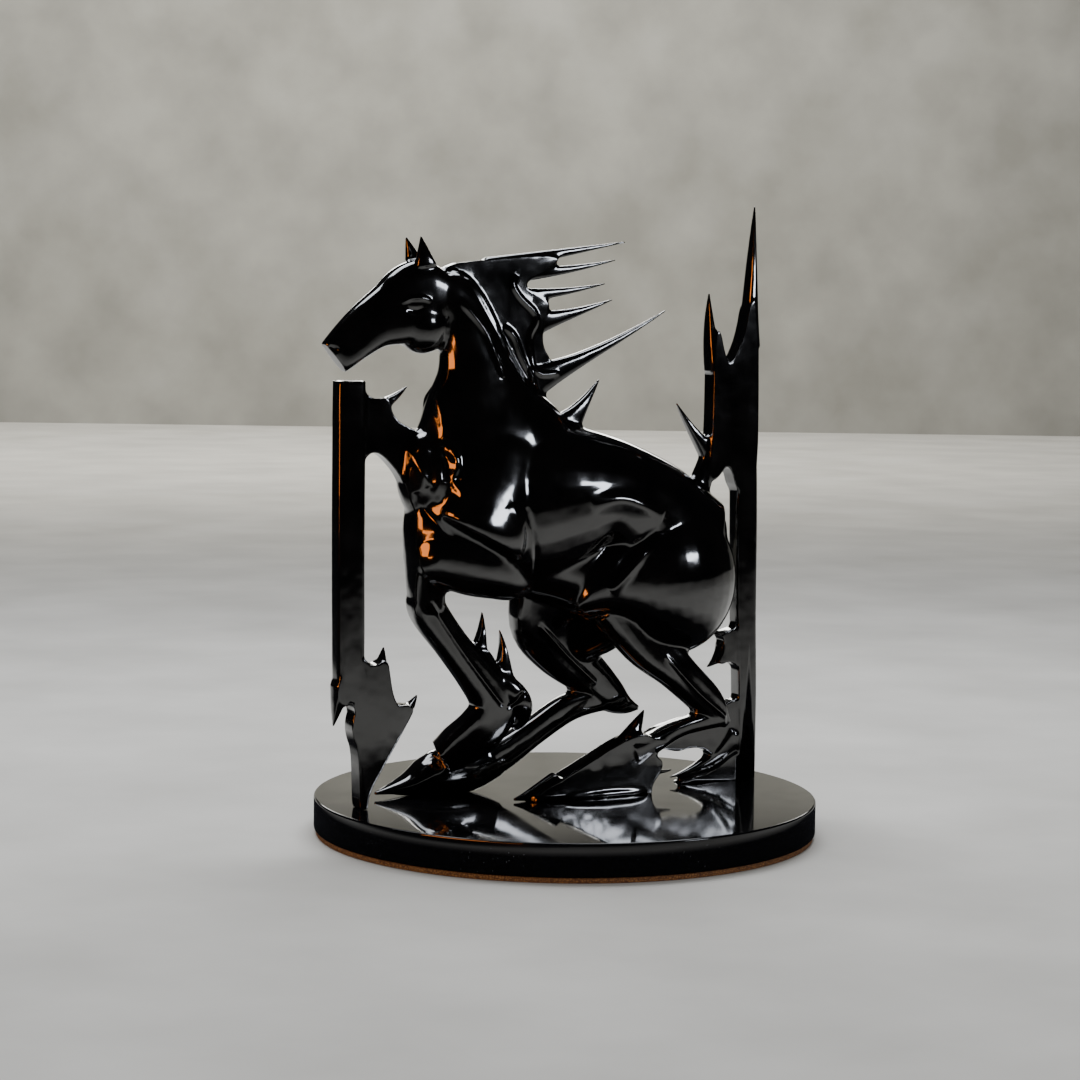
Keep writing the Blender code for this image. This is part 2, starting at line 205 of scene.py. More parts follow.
@dataclass(frozen=True)
class BlackBronze:
    """Cast bronze, black patina, waxed and polished: a deep black that mirrors every light."""

    name: str = "polished_black_patina_on_cast_bronze"
    hollow: str = "#040404"
    worn: str = "#0d0a09"
    roughness_low: float = 0.05
    roughness_high: float = 0.16
    chasing_mm: float = 14.0
    chasing_depth_mm: float = 4.0
    chasing_strength: float = 0.05
    grain_mm: float = 0.9
    grain_depth_mm: float = 0.5
    grain_strength: float = 0.015

    def material(self) -> bpy.types.Material:
        """Makes the material.

        Returns:
            A Blender material on Object coordinates.
        """
        material, place = bare_material(self.name)
        tree = material.node_tree
        clouds = add_node(tree, "ShaderNodeTexNoise", inputs={
            "Vector": place, "Scale": 1 / (self.chasing_mm * UNIT * 2), "Detail": 3.0, "Roughness": 0.5,
        })
        tint = add_node(tree, "ShaderNodeValToRGB", inputs={"Fac": clouds.outputs["Fac"]})
        set_ramp(tint, [(0.35, self.hollow), (0.75, self.worn)])
        gloss = add_node(tree, "ShaderNodeMapRange", inputs={
            "Value": clouds.outputs["Fac"], "From Min": 0.3, "From Max": 0.75,
            "To Min": self.roughness_low, "To Max": self.roughness_high,
        })
        chased = add_node(tree, "ShaderNodeTexNoise", inputs={
            "Vector": place, "Scale": 1 / (self.chasing_mm * UNIT), "Detail": 1.0,
        })
        first = add_node(tree, "ShaderNodeBump", inputs={
            "Height": chased.outputs["Fac"], "Strength": self.chasing_strength,
            "Distance": self.chasing_depth_mm * UNIT,
        })
        grain = add_node(tree, "ShaderNodeTexNoise", inputs={
            "Vector": place, "Scale": 1 / (self.grain_mm * UNIT), "Detail": 2.0,
        })
        second = add_node(tree, "ShaderNodeBump", inputs={
            "Height": grain.outputs["Fac"], "Strength": self.grain_strength,
            "Distance": self.grain_depth_mm * UNIT, "Normal": first.outputs["Normal"],
        })
        shader = add_node(tree, "ShaderNodeBsdfPrincipled", inputs={
            "Base Color": tint.outputs["Color"],
            "Roughness": gloss.outputs["Result"],
            "IOR": 1.6,
            "Coat Weight": 1.0,
            "Coat Roughness": 0.04,
            "Coat IOR": 1.5,
            "Normal": second.outputs["Normal"],
            "Coat Normal": first.outputs["Normal"],
        })
        add_node(tree, "ShaderNodeOutputMaterial", inputs={"Surface": shader.outputs["BSDF"]})
        return material


@dataclass(frozen=True)
class BlackStone:
    """Black stone sawn round and polished like a mirror, with fine bright dust lying on it."""

    name: str = "mirror_polished_black_stone"
    ground: str = "#060606"
    crystal: str = "#15161a"
    dust: str = "#8d8f94"
    crystal_mm: float = 1.2
    dust_mm: float = 3.0
    drift_mm: float = 45.0
    roughness_low: float = 0.03
    roughness_high: float = 0.09

    def material(self) -> bpy.types.Material:
        """Makes the material.

        Returns:
            A Blender material on Object coordinates.
        """
        material, place = bare_material(self.name)
        tree = material.node_tree
        crystals = add_node(tree, "ShaderNodeTexVoronoi", inputs={
            "Vector": place, "Scale": 1 / (self.crystal_mm * UNIT),
        })
        tint = add_node(tree, "ShaderNodeValToRGB", inputs={"Fac": crystals.outputs["Distance"]})
        set_ramp(tint, [(0.15, self.crystal), (0.5, self.ground)])
        specks = add_node(tree, "ShaderNodeTexVoronoi", inputs={
            "Vector": place, "Scale": 1 / (self.dust_mm * UNIT), "Randomness": 1.0,
        })
        speck_mask = add_node(tree, "ShaderNodeMapRange", inputs={
            "Value": specks.outputs["Distance"], "From Min": 0.06, "From Max": 0.1,
            "To Min": 1.0, "To Max": 0.0,
        })
        drifts = add_node(tree, "ShaderNodeTexNoise", inputs={
            "Vector": place, "Scale": 1 / (self.drift_mm * UNIT), "Detail": 2.0,
        })
        drift_mask = add_node(tree, "ShaderNodeMapRange", inputs={
            "Value": drifts.outputs["Fac"], "From Min": 0.5, "From Max": 0.65,
            "To Min": 0.0, "To Max": 0.6,
        })
        dusty = add_node(tree, "ShaderNodeMath", {"operation": "MULTIPLY"}, {
            0: speck_mask.outputs["Result"], 1: drift_mask.outputs["Result"],
        })
        colour = add_node(tree, "ShaderNodeMix", {"data_type": "RGBA"}, {
            "Factor": dusty.outputs["Value"], "A": tint.outputs["Color"], "B": linear(self.dust),
        })
        wipe = add_node(tree, "ShaderNodeMapRange", inputs={
            "Value": drifts.outputs["Fac"], "From Min": 0.3, "From Max": 0.7,
            "To Min": self.roughness_low, "To Max": self.roughness_high,
        })
        shader = add_node(tree, "ShaderNodeBsdfPrincipled", inputs={
            "Base Color": colour.outputs["Result"],
            "Roughness": wipe.outputs["Result"],
            "IOR": 1.5,
        })
        add_node(tree, "ShaderNodeOutputMaterial", inputs={"Surface": shader.outputs["BSDF"]})
        return material


@dataclass(frozen=True)
class Cork:
    """Pressed cork sheet, cut with a knife: warm brown grains with darker joints."""

    name: str = "pressed_cork_sheet"
    grain: str = "#a8703c"
    joint: str = "#5a3418"
    grain_mm: float = 1.6
    relief_mm: float = 0.6

    def material(self) -> bpy.types.Material:
        """Makes the material.

        Returns:
            A Blender material on Object coordinates.
        """
        material, place = bare_material(self.name)
        tree = material.node_tree
        grains = add_node(tree, "ShaderNodeTexVoronoi", {"feature": "DISTANCE_TO_EDGE"}, {
            "Vector": place, "Scale": 1 / (self.grain_mm * UNIT),
        })
        tint = add_node(tree, "ShaderNodeValToRGB", inputs={"Fac": grains.outputs["Distance"]})
        set_ramp(tint, [(0.02, self.joint), (0.25, self.grain)])
        raised = add_node(tree, "ShaderNodeBump", inputs={
            "Height": grains.outputs["Distance"], "Strength": 0.5, "Distance": self.relief_mm * UNIT,
        })
        shader = add_node(tree, "ShaderNodeBsdfPrincipled", inputs={
            "Base Color": tint.outputs["Color"],
            "Roughness": 0.85,
            "Normal": raised.outputs["Normal"],
        })
        add_node(tree, "ShaderNodeOutputMaterial", inputs={"Surface": shader.outputs["BSDF"]})
        return material


@dataclass(frozen=True)
class StudioPaint:
    """Matt paint on the studio's floor and wall, which aren't part of the work.

    In the polish, and only there, the paint shows painted shade: before the work, beside it and high up,
    and a painted contact shadow close round the base. Each patch fades in between two distances.
    """

    name: str = "matt_studio_paint"
    light: str = "#d6d3cc"
    shade: str = "#c4c1ba"
    mottle_mm: float = 180.0
    # Colour of the painted shade that reflections of the paint show: painted light falloff and a painted
    # contact shadow.
    painted_shade: str = "#1c1c1e"
    before_m: tuple[float, float] = (-0.55, -1.5)
    beside_m: tuple[float, float] = (-0.35, -0.5)
    high_m: tuple[float, float] = (1.02, 1.2)
    close_m: tuple[float, float] = (0.40, 0.28)

    def material(self) -> bpy.types.Material:
        """Makes the material.

        Returns:
            A Blender material on Object coordinates.
        """
        material, place = bare_material(self.name)
        tree = material.node_tree
        mottle = add_node(tree, "ShaderNodeTexNoise", inputs={
            "Vector": place, "Scale": 1 / (self.mottle_mm * UNIT), "Detail": 4.0,
        })
        tint = add_node(tree, "ShaderNodeValToRGB", inputs={"Fac": mottle.outputs["Fac"]})
        set_ramp(tint, [(0.3, self.shade), (0.7, self.light)])
        axes = add_node(tree, "ShaderNodeSeparateXYZ", inputs={"Vector": place}).outputs
        away = add_node(tree, "ShaderNodeVectorMath", {"operation": "LENGTH"}, {0: place}).outputs["Value"]
        shaded: bpy.types.NodeSocket | float = 0.0
        for measure, clear, black in (
            (axes["Y"], *self.before_m), (axes["X"], *self.beside_m), (axes["Z"], *self.high_m),
            (away, *self.close_m),
        ):
            painted_shade = add_node(tree, "ShaderNodeMapRange", inputs={
                "Value": measure, "From Min": clear, "From Max": black,
            })
            shaded = add_node(tree, "ShaderNodeMath", {"operation": "MAXIMUM"}, {
                0: painted_shade.outputs["Result"], 1: shaded,
            }).outputs["Value"]
        # Painted shade: only glossy rays see the paint darkened, standing in for light falling off and a
        # contact shadow round the base.
        mirrored = add_node(tree, "ShaderNodeLightPath").outputs["Is Glossy Ray"]
        painted_shade_in_polish = add_node(tree, "ShaderNodeMath", {"operation": "MULTIPLY"}, {0: shaded, 1: mirrored})
        colour = add_node(tree, "ShaderNodeMix", {"data_type": "RGBA"}, {
            "Factor": painted_shade_in_polish.outputs["Value"], "A": tint.outputs["Color"], "B": linear(self.painted_shade),
        })
        shader = add_node(tree, "ShaderNodeBsdfPrincipled", inputs={
            "Base Color": colour.outputs["Result"], "Roughness": 0.7, "Specular IOR Level": 0.0,
        })
        add_node(tree, "ShaderNodeOutputMaterial", inputs={"Surface": shader.outputs["BSDF"]})
        return material


def between(values: tuple[float, float, float, float], share: float) -> float:
    """Reads a Catmull-Rom curve between the middle two of four values.

    Args:
        values: The value before, the start, the end and the value after.
        share: How far along from the start to the end, from 0 to 1.

    Returns:
        The value there.
    """
    before, start, end, after = values
    pull_in = (end - before) / 2
    pull_out = (after - start) / 2
    square = share * share
    cube = square * share
    return (
        start * (2 * cube - 3 * square + 1)
        + pull_in * (cube - 2 * square + share)
        + end * (3 * square - 2 * cube)
        + pull_out * (cube - square)
    )


def smooth_run(stations: list[tuple[float, ...]], steps: int) -> list[list[float]]:
    """Fills a smooth run between stations.

    Args:
        stations: The rows of values to pass through.
        steps: How many rows to make for each station.

    Returns:
        The filled run, with every station in it.
    """
    run = []
    last = len(stations) - 1
    for index in range(last):
        around = [stations[max(0, min(last, index + shift))] for shift in (-1, 0, 1, 2)]
        for step in range(steps):
            run.append([between(values, step / steps) for values in zip(*around)])
    run.append(list(stations[-1]))
    return run


@dataclass
class Wax:
    """The wax model: masses pressed together before the mould is made.

    Each mass is made a little too fat, by the swell, so that pressing them together and then taking the
    swell off again leaves a fillet in every hollow and keeps thin points whole.
    """

    sides: int = 32
    bands: int = 20
    steps: int = 6
    least_half: float = 0.2
    tip_depth: float = 0.35
    tip_width: float = 0.5
    thorn_shares: tuple[float, ...] = (0.0, 0.15, 0.35, 0.6, 0.85, 1.0)
    swell: float = 1.5
    end_turns: tuple[float, ...] = (30.0, 60.0, 90.0)
    meshes: dict[Touch, list[bpy.types.Mesh]] = field(
        default_factory=lambda: {touch: [] for touch in Touch}
    )

    def keep(self, bm: bmesh.types.BMesh, touch: Touch) -> None:
        """Closes a mass, turns its faces outwards and keeps it.

        Args:
            bm: The mass, which is used up.
            touch: How it takes the smoothing.
        """
        rim = [edge for edge in bm.edges if edge.is_boundary]
        if rim:
            bmesh.ops.holes_fill(bm, edges=rim, sides=0)
        bmesh.ops.recalc_face_normals(bm, faces=bm.faces[:])
        self.meshes[touch].append(mesh_of(bm, "wax"))

    def frames(self, stations: list[Station]) -> list[Matrix]:
        """Works out where each ring of a loft stands, with rounded ends.

        Args:
            stations: Each station's x, z, y, half depth in the pose's plane and half width across it.

        Returns:
            A matrix for each ring, which takes a unit circle to its place.
        """
        run = smooth_run(stations, self.steps)
        spots = [Vector((x, y, z)) for x, z, y, _, _ in run]
        rings = []
        for index, (_, _, _, depth, width) in enumerate(run):
            ahead = spots[min(index + 1, len(spots) - 1)]
            behind = spots[max(index - 1, 0)]
            along = (ahead - behind).normalized()
            rings.append((spots[index], along, depth, width, self.swell))
        ends = []
        for spot, along, depth, width, way in ((*rings[0][:4], -1), (*rings[-1][:4], 1)):
            turns = [math.radians(turn) for turn in self.end_turns]
            ends.append([
                (spot + along * (way * self.swell * math.sin(turn)), along, depth, width,
                 self.swell * math.cos(turn))
                for turn in turns
            ])
        frames = []
        for spot, along, depth, width, extra in [*reversed(ends[0]), *rings, *ends[1]]:
            across = Vector((0, 1, 0))
            across = (across - along * across.dot(along)).normalized()
            frame = Matrix.Identity(4)
            frame.col[0][:3] = across.cross(along) * (max(depth, self.least_half) + extra)
            frame.col[1][:3] = across * (max(width, self.least_half) + extra)
            frame.col[2][:3] = along
            frame.col[3][:3] = spot
            frames.append(frame)
        return frames

    def loft(self, stations: list[Station], squareness: float = 2.0, touch: Touch = Touch.CRISP) -> None:
        """Adds a mass lofted along its stations by extruding one ring.

        Args:
            stations: The stations, as for frames.
            squareness: Two for an oval section, more for a squarer one.
            touch: How it takes the smoothing.
        """
        bm = bmesh.new()
        ring = bmesh.ops.create_circle(bm, cap_ends=False, radius=1.0, segments=self.sides)["verts"]
        for vert in ring:
            sum_of_powers = abs(vert.co.x) ** squareness + abs(vert.co.y) ** squareness
            vert.co *= sum_of_powers ** (-1 / squareness)
        edges = bm.edges[:]
        frames = self.frames(stations)
        bmesh.ops.transform(bm, matrix=frames[0], verts=ring)
        for before, now in zip(frames, frames[1:]):
            made = bmesh.ops.extrude_edge_only(bm, edges=edges)["geom"]
            fresh = {item for item in made if isinstance(item, bmesh.types.BMVert)}
            edges = [
                item for item in made
                if isinstance(item, bmesh.types.BMEdge) and set(item.verts) <= fresh
            ]
            bmesh.ops.transform(bm, matrix=now @ before.inverted(), verts=list(fresh))
        self.keep(bm, touch)

    def egg(
        self, centre: tuple[float, float, float], reach: tuple[float, float, float], lean: float = 0.0,
        touch: Touch = Touch.SOFT,
    ) -> None:
        """Adds an egg-shaped muscle.

        Args:
            centre: Its middle as x, y and z.
            reach: Its half sizes along x, y and z.
            lean: Its turn in the pose's plane, in degrees, lifting its +X end.
            touch: How it takes the smoothing.
        """
        bm = bmesh.new()
        frame = Matrix.Translation(centre) @ Matrix.Rotation(-math.radians(lean), 4, "Y")
        stretch = Matrix.Diagonal((*(size + self.swell for size in reach), 1.0))
        bmesh.ops.create_uvsphere(
            bm, u_segments=self.sides, v_segments=self.bands, radius=1.0, matrix=frame @ stretch,
        )
        self.keep(bm, touch)

    def outlined(self, corners: list[Place], rounds: int) -> list[Vector]:
        """Rounds an outline by cutting its corners, and moves it outwards by the swell.

        Args:
            corners: The outline's corners as x and z.
            rounds: How many times the corners are cut.

        Returns:
            The new corners.
        """
        points = [Vector(corner) for corner in corners]
        for _ in range(rounds):
            cut = []
            for here, there in zip(points, points[1:] + points[:1]):
                cut += [here.lerp(there, 0.25), here.lerp(there, 0.75)]
            points = cut
        pairs = list(zip(points, points[1:] + points[:1]))
        area = sum(here.x * there.y - there.x * here.y for here, there in pairs)
        turn = 1 if area > 0 else -1
        sides = [Vector((there.y - here.y, here.x - there.x)).normalized() * turn for here, there in pairs]
        moved = []
        for index, point in enumerate(points):
            middle = (sides[index - 1] + sides[index]).normalized()
            moved.append(point + middle * (self.swell / max(0.5, middle.dot(sides[index]))))
        return moved

    def plate(self, corners: list[Place], y: float, half: float, rounds: int = 2) -> None:
        """Adds a flat plate with flowing edges.

        Args:
            corners: Its corners as x and z.
            y: Where its middle is across the pose's plane.
            half: Half its thickness.
            rounds: How many times its corners are cut.
        """
        bm = bmesh.new()
        rim = [bm.verts.new((point.x, y - half, point.y)) for point in self.outlined(corners, rounds)]
        face = bm.faces.new(rim)
        made = bmesh.ops.extrude_face_region(bm, geom=[face])["geom"]
        fresh = [item for item in made if isinstance(item, bmesh.types.BMVert)]
        bmesh.ops.translate(bm, verts=fresh, vec=(0, 2 * half, 0))
        bmesh.ops.recalc_face_normals(bm, faces=bm.faces[:])
        for step, before in zip(self.end_turns, (0.0, *self.end_turns)):
            now, then = math.radians(step), math.radians(before)
            ends = [item for item in bm.faces if len(item.verts) == len(rim)]
            bmesh.ops.inset_individual(
                bm, faces=ends, thickness=self.swell * (math.cos(then) - math.cos(now)),
                depth=self.swell * (math.sin(now) - math.sin(then)), use_even_offset=True,
            )
        self.keep(bm, Touch.CRISP)

    def thorn(
        self, root: Place, tip: Place, half: float, y: float = 0.0, bend: float = 0.0,
        thickness: float = 7.0, flare: float = 0.35,
    ) -> None:
        """Adds a flat thorn that narrows from a flared root to a point.

        Args:
            root: The middle of its root as x and z.
            tip: Its point as x and z.
            half: Half its depth at the root.
            y: Where it is across the pose's plane.
            bend: How far it bows sideways, as a share of its length.
            thickness: Half its width across the plane at the root.
            flare: The share of the root's depth that falls away quickly.
        """
        along = Vector((tip[0] - root[0], tip[1] - root[1]))
        side = Vector((-along.y, along.x))
        stations = []
        for share in self.thorn_shares:
            left = 1 - share
            bow = bend * 4 * share * left
            depth = half * ((1 - flare) * left + flare * left ** 4) + self.tip_depth
            width = (thickness - self.tip_width) * (1 - share ** 2.2) + self.tip_width
            spot = Vector(root) + along * share + side * bow
            stations.append((spot.x, spot.y, y, depth, width))
        self.loft(stations, 3.4)


@dataclass
class Horse:
    """The horse: head, neck, thorned mane, trunk, haunches and four legs, as wax masses."""

    wax: Wax
    mane_half: float = 4.0
    near_leg: float = -21.0
    far_leg: float = 30.0
    foreleg_y: float = 5.0

    def head(self) -> None:
        """Models the skull, the long wedge of the nose, the cheek and the ears."""
        self.wax.loft([
            (-92, 347, 0, 12, 10.5),
            (-101, 347, 0, 20, 12.2),
            (-113, 345.5, 0, 24.5, 12.5),
            (-128.5, 335.5, 0, 23, 12),
            (-145.5, 327.5, 0, 17.8, 10),
            (-159, 317.6, 0, 15.2, 8.6),
            (-169.5, 308.5, 0, 13.4, 7.8),
            (-174.5, 304.3, 0, 12.4, 6.5),
        ], 3.4, Touch.SOFT)
        self.wax.egg((-110, 0, 327), (19, 13.5, 20.5))
        self.wax.egg((-103, 0, 356), (11, 9, 11))
        self.wax.thorn((-112, 366), (-115.6, 385.5), 7.2, y=-9, thickness=3.4, flare=0.0)
        self.wax.thorn((-112, 367), (-118.4, 385), 6.2, y=9, thickness=3.4, flare=0.0)

    def neck(self) -> None:
        """Models the neck, deepening from the throat to the chest and the withers."""
        self.wax.loft([
            (-98, 352, 0, 14, 11.5),
            (-89, 345, 0, 18, 12.8),
            (-79, 329, 0, 20, 14),
            (-71, 302, 0, 26, 17),
            (-67, 276, 0, 41, 21.5),
            (-61, 248, 0, 61, 26.5),
            (-57, 215, 0, 62, 29),
            (-57, 186, 0, 52, 29),
        ], 2.3, Touch.SOFT)

    def mane(self) -> None:
        """Models the mane: a plate on the crest that runs out in thorns blown to the rear."""
        half = self.mane_half
        self.wax.plate([
            (-103, 366), (-60, 371.5), (-8, 375.5), (-12, 366), (-38, 354.5), (-24, 347),
            (-14, 341), (-20, 331), (-21, 312), (-13, 302), (-17, 288), (-18, 275), (-8, 262),
            (-45, 262),
            (-62, 310), (-80, 340),
        ], 0, half)
        self.wax.thorn((-62, 366.5), (44.5, 384.5), 5.6, thickness=half, flare=0.0)
        self.wax.thorn((-34, 361.5), (37, 372), 5, thickness=half, bend=-0.02, flare=0.1)
        self.wax.thorn((-38, 346.5), (29, 355.5), 5.2, thickness=half, bend=-0.02, flare=0.1)
        self.wax.thorn((-36, 326), (35, 344.5), 13, thickness=half, bend=-0.02, flare=0.5)
        self.wax.thorn((-28, 287.5), (77.5, 337), 13, thickness=half + 1, bend=-0.02, flare=0.6)
        self.wax.thorn((-1.5, 255), (25.5, 289), 14, thickness=half + 1, bend=-0.02, flare=0.5)

    def trunk(self) -> None:
        """Models the trunk from the breast over the barrel to the rump, with the slimmer belly under it."""
        self.wax.loft([
            (-114, 207, 0, 30, 10),
            (-107.5, 206, 0, 43, 19),
            (-92, 202, 0, 51, 26),
            (-70, 200, 0, 56, 30),
            (-40, 201, 0, 60, 34),
            (-5, 207.5, 0, 55, 36),
            (30, 208.5, 0, 41, 35),
            (62, 190, 0, 45.5, 34),
            (93, 161, 0, 51, 32),
            (112, 151.5, 0, 43.5, 27),
            (124.5, 150, 0, 32, 19),
            (130.5, 150, 0, 18, 8),
        ], 2.1, Touch.SOFT)
        self.wax.loft([
            (-60, 172, 0, 26, 18),
            (-35, 166, 0, 24, 22),
            (0, 160, 0, 27, 23),
            (35, 150, 0, 30, 24),
            (60, 145, 0, 30, 22),
        ], 2.4, Touch.SOFT)
        self.wax.egg((-112, 0, 226), (14.2, 19, 30))

    def shoulder(self, side: int) -> None:
        """Models one shoulder, its lower edge proud of the breast, and the breast muscle below it.

        Args:
            side: -1 for the near one, 1 for the far one.
        """
        self.wax.loft([
            (-44, 264, 8 * side, 16, 11),
            (-51, 243, 12 * side, 28, 16),
            (-60, 222, 15.5 * side, 33, 18),
            (-68, 202, 18.5 * side, 34, 19),
            (-74, 188, 20.5 * side, 34, 19.5),
            (-76, 184, 20.5 * side, 33, 18),
        ], 2.3, Touch.SOFT)
        self.wax.loft([
            (-110, 186, 4 * side, 14, 9),
            (-99, 179, 7 * side, 27, 17),
            (-76, 167, 9 * side, 25, 19),
            (-54, 158, 9 * side, 20, 17),
            (-40, 152, 8 * side, 16, 13),
            (-33, 146.5, 6 * side, 10.5, 8),
        ], 2.4, Touch.SOFT)
        self.wax.egg((-113, 9 * side, 240), (8, 9, 13))
        self.wax.egg((-103, 15 * side, 222), (10, 9, 18))

    def haunch(self, side: int) -> None:
        """Models one haunch: the round of the quarter, and the thigh that runs forward to the stifle.

        Args:
            side: -1 for the near one, 1 for the far one.
        """
        self.wax.egg((79.2, 13 * side, 150), (50, 29, 55), lean=8)
        self.wax.loft([
            (84, 150, 12 * side, 46, 27),
            (54, 150, 13 * side, 40, 24),
            (32, 147.5, 14 * side, 29, 19),
            (17, 141.5, 14 * side, 19, 15),
            (8, 134.5, 14 * side, 10.5, 11),
            (4, 130, 14 * side, 5, 7),
        ], 2.2, Touch.SOFT)

    def near_hind_leg(self) -> None:
        """Models the near hind leg: gaskin, pointed hock, cannon and the long wedge of its hoof."""
        y = self.near_leg
        self.wax.loft([
            (40.5, 134.5, y + 8, 26, 12),
            (58.5, 105.5, y + 4, 19.3, 10.5),
            (79.6, 84.6, y + 1, 13.8, 10),
            (101.5, 64.5, y, 12, 9),
            (112, 52, y, 9.5, 8),
            (120, 45, y, 4, 6),
        ], 3.4)
        self.wax.loft([
            (116, 49.5, y, 6.6, 8),
            (98, 47, y, 6.2, 8),
            (80, 42.8, y, 5.8, 8),
            (62, 35, y, 7.2, 8.5),
            (44, 28.5, y, 10.5, 9),
        ], 3.4)
        self.wax.loft([
            (-14, 8.5, y, 10, 8),
            (-28, 5, y, 6, 6),
            (-40, 2.6, y, 2.4, 3.2),
            (-47, 1.5, y, 0.8, 1),
        ], 3.6)
        self.wax.plate([
            (50, 43), (33, 38.5), (4, 23.5), (-14, 14.5), (-30, 7.5), (-36, 0), (-30, -4), (57, -4),
            (57, 6), (64, 14), (66, 22), (60, 26), (58, 31), (68, 33), (70, 37), (60, 38),
        ], y, 8.5)
        self.wax.thorn((40, 33), (54, 58), 9, y=y, thickness=6.5, flare=0.2)
        self.wax.thorn((54, 16), (77, 14), 4, y=y, thickness=5, bend=-0.06)
        self.wax.loft([(-10, 0, y, 5, 9), (20, 0, y, 6, 10), (50, 0, y, 6, 9), (58, 0, y, 3, 6)], 3.0)

    def far_hind_leg(self) -> None:
        """Models the far hind leg, reaching forward under the belly to its hoof."""
        y = self.far_leg
        self.wax.loft([
            (14, 176, 12, 22, 12),
            (6, 160, 16, 27, 14),
            (2, 142, 20, 30, 14),
            (-3, 118, 24, 25, 12),
            (11, 97, y - 2, 19.5, 10),
            (34, 79, y, 16, 9),
            (53, 62, y, 12.5, 8.5),
            (65, 54.5, y, 7.5, 7),
            (76, 51.5, y, 2, 4),
        ], 3.4)
        self.wax.loft([
            (48, 138, 10, 30, 16),
            (33, 120, 17, 30, 12),
            (22, 109.5, y - 8, 24, 10),
            (14, 105, y - 5, 15, 7),
        ], 2.2, Touch.SOFT)
        self.wax.loft([
            (62, 57, y, 6.5, 7.5),
            (44, 59, y, 8.5, 8),
            (20, 54.5, y, 9.6, 8),
            (-6, 40, y, 9.6, 8),
            (-28, 27, y, 11, 9),
            (-46, 19, y, 13, 10),
        ], 3.6)
        self.wax.loft([
            (-36, 20, y, 11, 9),
            (-58, 16, y, 16, 13),
            (-82, 14.5, y, 16, 14),
            (-102, 8, y, 8.5, 12),
            (-118, 5, y, 3.5, 6),
            (-129, 3, y, 1, 1.2),
        ], 2.6)

    def foreleg(self) -> None:
        """Models the foreleg: upper arm, knee, cannon with two thorns, fetlock, tuft and pastern."""
        y = self.foreleg_y
        self.wax.loft([
            (-98, 214, 2, 18, 15),
            (-101.5, 190, 1, 18, 19),
            (-103, 166, 1, 15.5, 17),
            (-104, 147, 3, 12.8, 12.5),
            (-101.2, 131, y, 12, 9.5),
        ], 2.8, Touch.SOFT)
        self.wax.loft([
            (-103, 156, y - 2, 6, 6),
            (-103.8, 143, y - 1, 11.6, 9.5),
            (-101.2, 131, y, 12.5, 9.5),
            (-83, 107, y, 11.5, 9),
            (-66, 87, y, 13, 9),
            (-54, 71, y, 15, 9),
            (-52, 59, y, 16, 9),
            (-62, 46, y + 1, 16, 9.5),
            (-76, 35, y + 5, 14.5, 11),
            (-86, 28, y + 9, 10.5, 13),
        ], 4.0)
        self.wax.thorn((-64, 98), (-60.5, 129), 8, y=y, thickness=6, bend=-0.04, flare=0.5)
        self.wax.thorn((-45, 82), (-47, 116), 9.5, y=y, thickness=6, bend=-0.06, flare=0.5)
        self.wax.plate([
            (-68, 104), (-62, 104), (-57.5, 103), (-52, 95), (-50, 88), (-45, 85.5), (-39, 86.5),
            (-31, 73), (-42, 60), (-60, 80),
        ], y, 6.5)
        self.wax.loft([
            (-52, 84, y - 1, 5, 6),
            (-41.5, 76, y - 1, 8.5, 8.5),
            (-32.5, 65, y - 1, 9.2, 9.5),
            (-31.5, 55, y - 1, 7, 8),
            (-37, 48, y - 1, 4, 6),
        ], 2.6)

    def model(self) -> None:
        """Models the whole horse."""
        self.head()
        self.neck()
        self.mane()
        self.trunk()
        for side in (Side.NEAR.value, Side.FAR.value):
            self.shoulder(side)
            self.haunch(side)
        self.near_hind_leg()
        self.far_hind_leg()
        self.foreleg()


